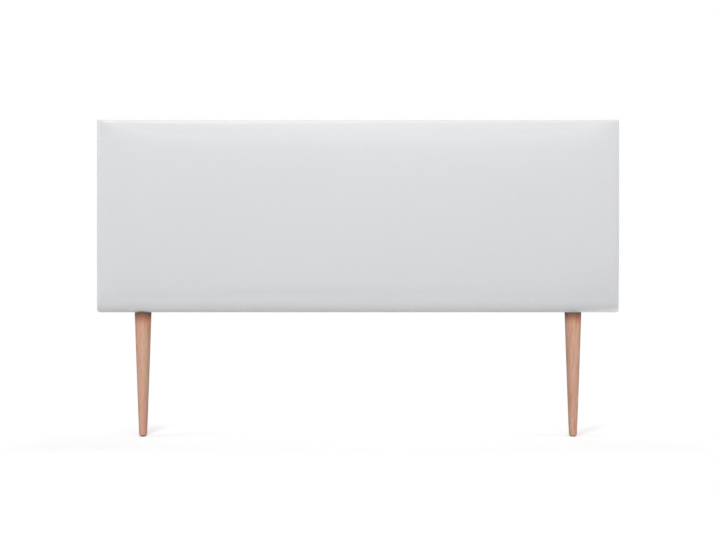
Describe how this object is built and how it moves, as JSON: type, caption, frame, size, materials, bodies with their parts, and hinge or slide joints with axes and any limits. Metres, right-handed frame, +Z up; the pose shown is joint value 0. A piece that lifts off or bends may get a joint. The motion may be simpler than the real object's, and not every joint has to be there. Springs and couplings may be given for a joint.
{
  "type": "headboard",
  "caption": "Padded bed headboard: a plain upholstered panel on a wooden frame, standing on turned tapered legs, with keyhole plates on the back.",
  "frame": {"origin": "on the floor, midway between the legs and midway through the panel's depth", "axes": "+Z up; the padded front faces -Y and the wall side faces +Y; +X is to the right as seen from the front"},
  "size_m": [1.65, 0.0676, 1.003],
  "materials": {
    "pine": "matte",
    "hardboard": "matte",
    "foam": "matte",
    "leatherette": "satin",
    "fibre_cloth": "matte",
    "leg_wood": "satin",
    "zinc_steel": "satin",
    "insert_metal": "satin",
    "glide_plastic": "matte"
  },
  "bodies": {
    "root": {"top_rail": "pine", "bottom_rail": "pine", "left_stile": "pine", "right_stile": "pine", "left_stud": "pine", "right_stud": "pine", "bottom_left_corner_block": "pine", "bottom_right_corner_block": "pine", "top_left_corner_block": "pine", "top_right_corner_block": "pine", "frame_screws": "zinc_steel", "front_board": "hardboard", "foam_pad": "foam", "cover": "leatherette", "back_cloth": "fibre_cloth", "left_keyhole_plate": "zinc_steel", "right_keyhole_plate": "zinc_steel", "plate_screws": "zinc_steel", "left_leg": "leg_wood", "right_leg": "leg_wood", "leg_bolts": "zinc_steel", "threaded_inserts": "insert_metal", "left_glide": "glide_plastic", "right_glide": "glide_plastic", "glide_nails": "zinc_steel"}
  },
  "joints": []
}
